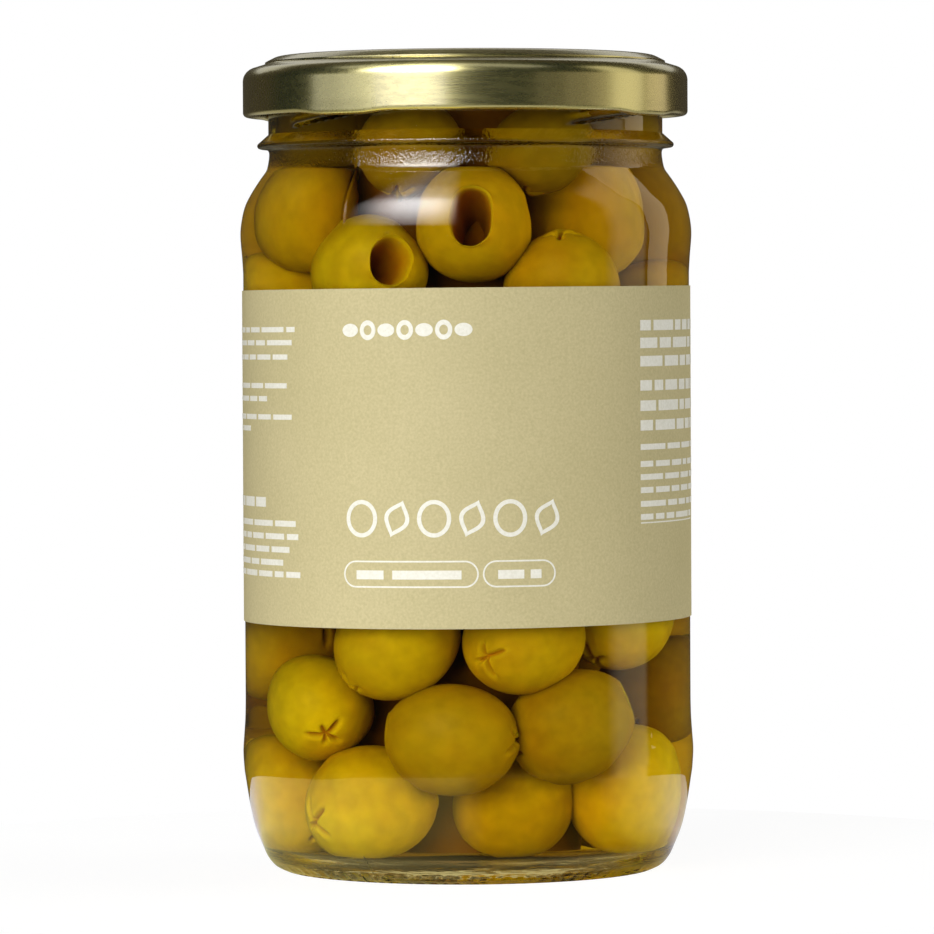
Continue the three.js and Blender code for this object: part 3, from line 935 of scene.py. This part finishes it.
def print_marks():
    """The ornaments in place of the large words: a sprig above, a row of olives and leaves below."""
    marks = []
    for i in range(SPRIG_MARKS):
        middle = (SPRIG_START + SPRIG_PITCH * i, SPRIG_HEIGHT)
        outer, inner = SPRIG_RING if i % 2 else SPRIG_OVAL
        marks.append(ink_ring(ellipse_line(middle, *outer), ellipse_line(middle, *inner)))
    for i in range(ROW_MARKS):
        middle = (ROW_START + ROW_PITCH * i, ROW_HEIGHT)
        line, (outer, inner) = (leaf_line, ROW_LEAF) if i % 2 else (ellipse_line, ROW_OVAL)
        marks.append(ink_ring(line(middle, *outer), line(middle, *inner)))
    return marks


def print_pills():
    """Two round-ended outlines with short bars in them."""
    marks = []
    for start, end, bars in PILLS:
        middle, half_width = ((start + end) / 2, PILL_HEIGHT), (end - start) / 2
        inner = pill_line(middle, half_width - PILL_LINE, PILL_HALF_HEIGHT - PILL_LINE)
        marks.append(ink_ring(pill_line(middle, half_width, PILL_HALF_HEIGHT), inner))
        marks += [ink_bar(first, last, *PILL_BAR) for first, last in bars]
    return marks


def make_label_print():
    draw = seeded_draws(RANDOM_SEED + 2)
    marks = print_marks() + print_pills()
    for height, thickness, end in LEFT_LINES:
        marks += print_words(draw, -SIDE_PRINT_REACH, end, height, thickness)
    for height, thickness, end in RIGHT_LINES:
        marks += print_words(draw, SIDE_PRINT_START, end, height, thickness)
    underline = RIGHT_LINES[-1][0] - UNDERLINE_DROP
    marks.append(ink_bar(SIDE_PRINT_START, UNDERLINE_END, underline, UNDERLINE_THICKNESS))
    points, faces = [], []
    count = 0
    for mark_points, mark_faces in marks:
        points.append(mark_points)
        faces += [[corner + count for corner in face] for face in mark_faces]
        count += len(mark_points)
    return new_piece("label_print", np.vstack(points), faces, ink_material())


# Olives


def seeded_draws(seed):
    """A repeatable stream of random numbers between two limits."""
    state = seed

    def draw(low, high):
        nonlocal state
        state = (state * 1664525 + 1013904223) % 4294967296
        return low + (high - low) * state / 4294967296

    return draw


def place_at(azimuth, distance, height):
    angle = math.radians(azimuth)
    return np.array([distance * math.sin(angle), -distance * math.cos(angle), height])


def unit(vector):
    return np.asarray(vector, float) / np.linalg.norm(vector)


def turned_from_glass(direction, centre):
    """The way a pit hole faces, turned back from the glass where it would face it."""
    outwards = unit((centre[0], centre[1], 0))
    return unit(direction - 1.5 * max(0, direction @ outwards) * outwards)


def lay_olives():
    """The olives that show at the front, then rings of others wherever they don't crowd those."""
    draw, draw_tone = seeded_draws(RANDOM_SEED), seeded_draws(RANDOM_SEED + 3)
    olives = []
    for azimuth, height, distance, size, tone, (right, forward, up) in PLACED_OLIVES:
        centre, axis = place_at(azimuth, distance, height), unit((right, -forward, up))
        olives.append({"centre": centre, "axis": axis, "size": size, "tone": tone, "placed": True})
    placed = [olive["centre"] for olive in olives]
    for ring in range(RING_COUNT):
        height = FIRST_RING_HEIGHT + ring * RING_PITCH
        distance = inner_radius_at(height + OLIVE_RADIUS / 2) - OLIVE_RADIUS - GLASS_CLEARANCE
        for i in range(RING_OLIVES):
            azimuth = (i + ring % 2 / 2) * 360 / RING_OLIVES
            centre = place_at(azimuth, distance, height + draw(-1, 1))
            axis = turned_from_glass(np.array([draw(-1, 1) for _ in range(3)]), centre)
            size = 1 + draw(-SIZE_SPREAD, SIZE_SPREAD)
            if all(np.linalg.norm(other - centre) > CROWDED for other in placed):
                tone = draw_tone(0, 1)
                olives.append({"centre": centre, "axis": axis, "size": size, "tone": tone, "placed": False})
    return olives


def pushes_from_glass(middles, radii):
    """How spheres have to move to come clear of the glass, the base and the lid."""
    distance = np.hypot(middles[..., 0], middles[..., 1])
    excess = np.zeros_like(distance)
    for lift in (-0.8, -0.4, 0, 0.4, 0.8):
        reach = distance + radii * math.sqrt(1 - lift * lift)
        excess = np.maximum(excess, reach + GLASS_CLEARANCE - inner_radius_at(middles[..., 2] + lift * radii))
    pushes = np.zeros_like(middles)
    pushes[..., :2] = -middles[..., :2] * (excess / np.maximum(distance, 1e-9))[..., None]
    pushes[..., 2] += np.maximum(0, BASE_THICKNESS + GLASS_CLEARANCE + radii - middles[..., 2])
    pushes[..., 2] -= np.maximum(0, middles[..., 2] + radii - OLIVE_TOP)
    return pushes


def settle(olives):
    """Pushes the olives apart a little at a time until they lie against each other and the glass."""
    centres = np.array([olive["centre"] for olive in olives])
    spans = np.array([olive["axis"] for olive in olives]) * OLIVE_HALF_SPAN
    ends = np.stack([-spans, spans], 1)
    radii = OLIVE_RADIUS * np.array([olive["size"] for olive in olives])
    shares = SETTLE_SHARE * np.where([olive["placed"] for olive in olives], PLACED_SHARE, 1)
    touching = SQUEEZE * (radii[:, None] + radii[None, :])
    np.fill_diagonal(touching, 0)
    for _ in range(SETTLE_STEPS):
        spheres = centres[:, None] + ends
        apart = spheres[:, :, None, None] - spheres[None, None]
        gaps = np.linalg.norm(apart, axis=-1)
        overlap = np.maximum(0, touching[:, None, :, None] - gaps)
        pushes = (apart * (overlap / np.maximum(gaps, 1e-9))[..., None]).sum((1, 2, 3))
        centres = centres + pushes * shares[:, None]
        off_glass = pushes_from_glass(centres[:, None] + ends, radii[:, None])
        centres = centres + off_glass.sum(1) * SETTLE_SHARE
    for olive, centre in zip(olives, centres):
        olive["centre"] = centre
    return olives


def lumps(directions, draw, count=6):
    """A gentle unevenness over directions, as a sum of slow waves."""
    total = np.zeros(directions.shape[:-1])
    for _ in range(count):
        wave = np.array([draw(-2.6, 2.6) for _ in range(3)])
        total += np.sin(directions @ wave + draw(0, 2 * math.pi))
    return total / count


def star_cut(from_pole, turn, draw):
    """A few arms that meet at the pole: how far each place is sunk and raised as a lip, from 0 to 1."""
    arms = 4 + int(draw(0, 2))
    first_arm = draw(0, 2 * math.pi)
    depth = np.exp(-((from_pole / CUT_MIDDLE) ** 2))
    lips = np.zeros_like(from_pole)
    for arm in range(arms):
        angle = first_arm + (arm + draw(-0.2, 0.2)) * 2 * math.pi / arms
        reach = draw(*CUT_REACH)
        off_arm = np.where(np.cos(turn - angle) > 0, from_pole * np.abs(np.sin(turn - angle)), from_pole)
        fades = 1 - smoothstep(from_pole, reach * 0.5, reach)
        depth = np.maximum(depth, np.exp(-((off_arm / CUT_HALF_WIDTH) ** 2)) * fades)
        lips = np.maximum(lips, np.exp(-(((off_arm - LIP_OFFSET) / LIP_HALF_WIDTH) ** 2)) * fades)
    return depth, lips


def olive_shape(size, draw, columns, rows):
    """An egg shape along +Z with a pit hole at its top and a star-shaped cut at its bottom.

    Returns a grid of points, and how far inside the flesh each one is.
    """
    radius = OLIVE_RADIUS * size
    half_length = radius + OLIVE_HALF_SPAN
    turn = even_angles(columns)
    stretch, tilt = draw(0.1, 0.17), math.pi / 2 + draw(-0.3, 0.3)
    pit = PIT_RADIUS * (1 + stretch * np.cos(2 * (turn - tilt)) + 0.015 * np.sin(5 * turn + draw(0, 6)))
    rim = math.asin(PIT_RADIUS / radius)
    latitudes = np.linspace(0, 1, rows) ** 1.3 * (math.pi - rim * 1.12) - math.pi / 2
    across = np.outer(np.cos(latitudes), np.ones(columns)) * radius
    along = np.outer(np.sin(latitudes), np.ones(columns)) * half_length
    # The rim rolls over into the hole, which narrows as it goes down
    mouth = half_length * math.sin(math.pi / 2 - rim)
    across = np.vstack([across] + [pit * share for share, _, _ in PIT_HOLE])
    along = np.vstack([along] + [np.full(columns, mouth + drop) for _, drop, _ in PIT_HOLE])
    inside = np.vstack([np.zeros((rows, columns))] + [np.full(columns, depth) for _, _, depth in PIT_HOLE])
    points = np.stack([across * np.cos(turn), across * np.sin(turn), along], -1)
    directions = points / half_length
    points *= 1 + UNEVENNESS * lumps(directions, draw)[..., None]
    depth, lips = star_cut(np.where(along < 0, across, OUT_OF_REACH), turn, draw)
    points[..., 2] += CUT_DEPTH * depth - LIP_HEIGHT * lips
    return points, np.maximum(inside, 0.9 * depth)


def turned_to(axis, spin):
    """The rotation that takes +Z to an axis, after a turn about it."""
    turn = Vector((0, 0, 1)).rotation_difference(Vector(axis)) @ Quaternion((0, 0, 1), spin)
    return np.array(turn.to_matrix())


def grid_body_faces(rows, columns, offset):
    """Faces of a closed grid of rings, with a cap on each end."""
    faces = [[offset + columns - 1 - j for j in range(columns)]]
    for i in range(rows - 1):
        for j in range(columns):
            a, b = offset + i * columns + j, offset + i * columns + (j + 1) % columns
            faces.append([a, b, b + columns, a + columns])
    faces.append([offset + (rows - 1) * columns + j for j in range(columns)])
    return faces


def make_core(draw):
    """A lumpy column behind the olives, for the shadowy middle of the jar."""
    low, high = BASE_THICKNESS + 2, OLIVE_TOP - 2
    profile = densely([(0, low), (CORE_RADIUS, low), (CORE_RADIUS, high), (0, high)], CORE_SPACING)
    points, faces = revolve(profile, even_angles(CORE_SEGMENTS))
    move_radially(points, CORE_LUMPS * lumps(points / 6, draw, 8))
    return points, faces


def make_olives():
    olives = settle(lay_olives())
    draw = seeded_draws(RANDOM_SEED + 1)
    core, faces = make_core(draw)
    # The core is all deep flesh, so it takes the dark painted-shade colour
    points, insides, tones = [core], [np.full(len(core), 1.0)], [np.full(len(core), 0.5)]
    count = len(core)
    for olive in olives:
        columns, rows = PLACED_GRID if olive["placed"] else RING_GRID
        shape, inside = olive_shape(olive["size"], draw, columns, rows)
        spin = 0 if olive["placed"] else draw(0, 6)
        shape = shape.reshape(-1, 3) @ turned_to(olive["axis"], spin).T + olive["centre"]
        points.append(shape)
        faces += grid_body_faces(inside.shape[0], columns, count)
        insides.append(inside.ravel())
        tones.append(np.full(len(shape), olive["tone"]))
        count += len(shape)
    piece = new_piece("olive_heap", np.vstack(points), faces, olive_material(), 60)
    for name, values in (("inside", insides), ("tone", tones)):
        attribute = piece.data.attributes.new(name, "FLOAT", "POINT")
        attribute.data.foreach_set("value", np.concatenate(values).astype(np.float32))
    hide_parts("olives")
    return piece


# Studio


def make_camera():
    data = bpy.data.cameras.new("camera")
    data.lens = LENS
    data.clip_start, data.clip_end = 0.05, 20
    camera = bpy.data.objects.new("camera", data)
    camera.location = Vector((0, -EYE_DISTANCE, EYE_HEIGHT)) * MM
    towards = Vector((0, 0, AIM_HEIGHT)) * MM - camera.location
    camera.rotation_mode = "QUATERNION"
    camera.rotation_quaternion = towards.to_track_quat("-Z", "Y") @ Quaternion((0, 0, 1), math.radians(ROLL))
    bpy.context.scene.collection.objects.link(camera)
    bpy.context.scene.camera = camera


def add_softbox(name, azimuth, elevation, distance, size, strength):
    """A rectangular lamp that faces the jar, in metres, with its radiance as strength."""
    data = bpy.data.lights.new(name, "AREA")
    data.shape = "RECTANGLE"
    data.size, data.size_y = size
    data.energy = strength * size[0] * size[1] * math.pi
    lamp = bpy.data.objects.new(name, data)
    a, e = math.radians(azimuth), math.radians(elevation)
    towards = Vector((math.sin(a) * math.cos(e), -math.cos(a) * math.cos(e), math.sin(e)))
    lamp.location = towards * distance + Vector((0, 0, AIM_HEIGHT * MM))
    lamp.rotation_mode = "QUATERNION"
    lamp.rotation_quaternion = towards.to_track_quat("Z", "Y")
    lamp.visible_camera = False
    lamp.visible_glossy = False
    lamp.visible_transmission = False
    bpy.context.scene.collection.objects.link(lamp)
    return lamp


def keep_to(lamp, piece):
    """Lets a lamp light one piece alone."""
    receivers = bpy.data.collections.new(lamp.name + "_receivers")
    receivers.objects.link(piece)
    lamp.light_linking.receiver_collection = receivers


def make_floor():
    """A round table just wider than the view, white to the camera and dimmer in what the jar reflects.

    What the jar reflects of it has a painted shadow round the jar's foot.
    """
    material, tree, shader = new_material("white_floor")
    colour = grey_ramp(tree, noise(tree, 30, 2), [(0.3, 0.15), (0.7, 0.16)])
    tree.links.new(colour, shader.inputs["Base Color"])
    set_inputs(shader, Roughness=0.8, Specular_IOR_Level=0.1)
    set_inputs(shader, Emission_Color=(1, 1, 1, 1), Emission_Strength=0.92)
    place = add_node(tree, "ShaderNodeTexCoord").outputs["Object"]
    # Painted light: the floor's glow by azimuth in what the glass reflects
    stops = [(angle / 360 + 0.5, colour) for angle, colour in FLOOR_REFLECTION]
    mirrored = ramp(tree, turn_share(tree, place), stops)
    # A painted shadow near the jar's foot
    away = maths(tree, "LENGTH", place, kind="ShaderNodeVectorMath")
    shade = add_node(tree, "ShaderNodeMapRange", {"Value": away}, To_Min=FLOOR_SHADE)
    set_inputs(shade, From_Min=FLOOR_SHADE_REACH[0], From_Max=FLOOR_SHADE_REACH[1])
    mirrored = mix_colour(tree, 1.0, mirrored, shade.outputs[0], "MULTIPLY")
    surface = add_node(tree, "ShaderNodeEmission", {"Color": mirrored}).outputs[0]
    through = add_node(tree, "ShaderNodeEmission", Color=(*FLOOR_THROUGH_GLASS, 1)).outputs[0]
    bright = add_node(tree, "ShaderNodeBsdfDiffuse", Color=(0.8, 0.8, 0.8, 1)).outputs[0]
    looks = {"Is Transmission Ray": through, "Is Diffuse Ray": bright, "Is Camera Ray": shader.outputs[0]}
    look_by_ray(tree, surface, looks)
    material.cycles.emission_sampling = "NONE"
    rim = [place_at(angle, FLOOR_RADIUS, -0.1) for angle in range(0, 360, 5)]
    new_piece("floor", rim, [list(range(len(rim)))], material)


def turn_share(tree, place):
    """The azimuth of a place or a direction as a share of a whole turn, with the shown side in its middle."""
    axes = add_node(tree, "ShaderNodeSeparateXYZ", {"Vector": place}).outputs
    forward = add_node(tree, "ShaderNodeMapRange", {"Value": axes["Y"]}, From_Min=1.0, From_Max=-1.0)
    forward.clamp = False
    set_inputs(forward, To_Min=-1.0)
    angle = maths(tree, "ARCTAN2", axes["X"], forward.outputs[0])
    turn = add_node(tree, "ShaderNodeMapRange", {"Value": angle}, From_Min=-math.pi, From_Max=math.pi)
    return turn.outputs[0]


def around(tree, turn, stops):
    """A level for each azimuth of the studio."""
    return grey_ramp(tree, turn, [(angle / 360 + 0.5, level) for angle, level in stops])


def upward(tree, rise, stops):
    """A level for each elevation of the studio."""
    return grey_ramp(tree, rise, [(math.sin(math.radians(angle)) / 2 + 0.5, level) for angle, level in stops])


def make_world():
    """White behind the jar. What it reflects is a dark studio with a key light, a card and a pale ground."""
    world = bpy.data.worlds.new("studio")
    world.use_nodes = True
    tree = world.node_tree
    place = add_node(tree, "ShaderNodeTexCoord").outputs["Generated"]
    turn = turn_share(tree, place)
    up = add_node(tree, "ShaderNodeSeparateXYZ", {"Vector": place}).outputs["Z"]
    rise = add_node(tree, "ShaderNodeMapRange", {"Value": up}, From_Min=-1.0).outputs[0]
    path = tree.nodes.new("ShaderNodeLightPath")
    full = (1, 1, 1)
    through = mix_colour(tree, path.outputs["Is Transmission Ray"], (BACKDROP_REFLECTION,) * 3, full)
    lights = ((KEY_LIGHT, full), (CARD, full), (GROUND, full), (BACKDROP, through))
    light = DARK
    for (turns, rises, radiance), share in lights:
        shape = mix_colour(tree, 1.0, around(tree, turn, turns), upward(tree, rise, rises), "MULTIPLY")
        shape = mix_colour(tree, 1.0, shape, radiance, "MULTIPLY")
        shape = mix_colour(tree, 1.0, shape, share, "MULTIPLY")
        light = mix_colour(tree, 1.0, light, shape, "ADD")
    colour = mix_colour(tree, path.outputs["Is Camera Ray"], light, full)
    tree.links.new(colour, tree.nodes["Background"].inputs["Color"])
    world.cycles_visibility.diffuse = False
    bpy.context.scene.world = world


def make_studio(glass, lid, olives):
    make_floor()
    make_world()
    for name, place in LAMPS.items():
        add_softbox(name, *place)
    keep_to(add_softbox("olive_fill", *OLIVE_FILL), olives)
    cards = [("side_card", SIDE_CARD, glass)]
    cards += [(name, place, lid) for name, place in LID_CARDS.items()]
    for name, place, piece in cards:
        card = add_softbox(name, *place)
        card.visible_glossy = True
        keep_to(card, piece)
    for name in WARM_CARDS:
        bpy.data.lights[name].color = WARM
    bpy.data.lights["left_core"].color = COOL


def main():
    make_camera()
    glass, lid, olives = make_glass(), make_lid(), make_olives()
    for piece in (glass, make_brine(), lid, make_label(), make_label_print(), olives):
        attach(piece, "root")
    make_studio(glass, lid, olives)
    bpy.context.scene.view_settings.view_transform = "Standard"


main()
